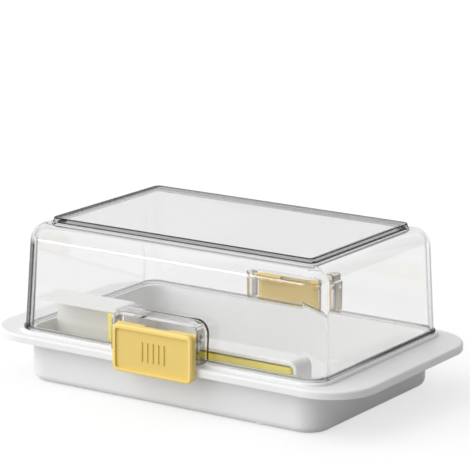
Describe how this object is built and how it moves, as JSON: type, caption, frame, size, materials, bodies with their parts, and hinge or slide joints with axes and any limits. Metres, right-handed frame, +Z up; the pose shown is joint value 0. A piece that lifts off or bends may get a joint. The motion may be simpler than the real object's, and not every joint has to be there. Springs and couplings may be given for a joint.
{
  "type": "butter dish with cutter",
  "caption": "Rectangular flanged butter dish with a clear clip-down lid; a slicing scoop with a sliding pusher lies inside.",
  "frame": {"origin": "middle of the whole object's footprint, on the tray's flat underside", "axes": "+X along the dish, the cutter's head lying at -X; -Y is the front, where the cutter and one clip are; +Z up"},
  "size_m": [0.203, 0.129, 0.0781],
  "materials": {
    "white_plastic": "glossy",
    "clear_plastic": "glossy and clear",
    "seal_rubber": "matte",
    "amber_plastic": "satin",
    "yellow_plastic": "satin",
    "pin_steel": "satin"
  },
  "bodies": {
    "tray": {"tray": "white_plastic", "lid_gasket": "seal_rubber"},
    "lid": {"lid": "clear_plastic", "front_clip_pin": "pin_steel", "rear_clip_pin": "pin_steel"},
    "front_clip": {"front_clip": "amber_plastic"},
    "rear_clip": {"rear_clip": "amber_plastic"},
    "cutter": {"cutter_frame": "white_plastic"},
    "pusher": {"pusher_plate": "yellow_plastic", "pusher_grip": "yellow_plastic"}
  },
  "joints": [
    {"name": "lid_lift", "type": "slide", "parent": "tray", "child": "lid", "axis": [0, 0, 1], "range_m": [0, 0.12]},
    {"name": "front_clip_swing", "type": "hinge", "parent": "lid", "child": "front_clip", "pos_m": [0, -0.0591, 0.037], "axis": [-1, 0, 0], "range_deg": [0, 95]},
    {"name": "rear_clip_swing", "type": "hinge", "parent": "lid", "child": "rear_clip", "pos_m": [0, 0.0591, 0.037], "axis": [1, 0, 0], "range_deg": [0, 95]},
    {"name": "cutter_lift", "type": "slide", "parent": "tray", "child": "cutter", "axis": [0, 0, 1], "range_m": [0, 0.026]},
    {"name": "pusher_slide", "type": "slide", "parent": "cutter", "child": "pusher", "axis": [-1, 0, 0], "range_m": [0, 0.0398]}
  ]
}
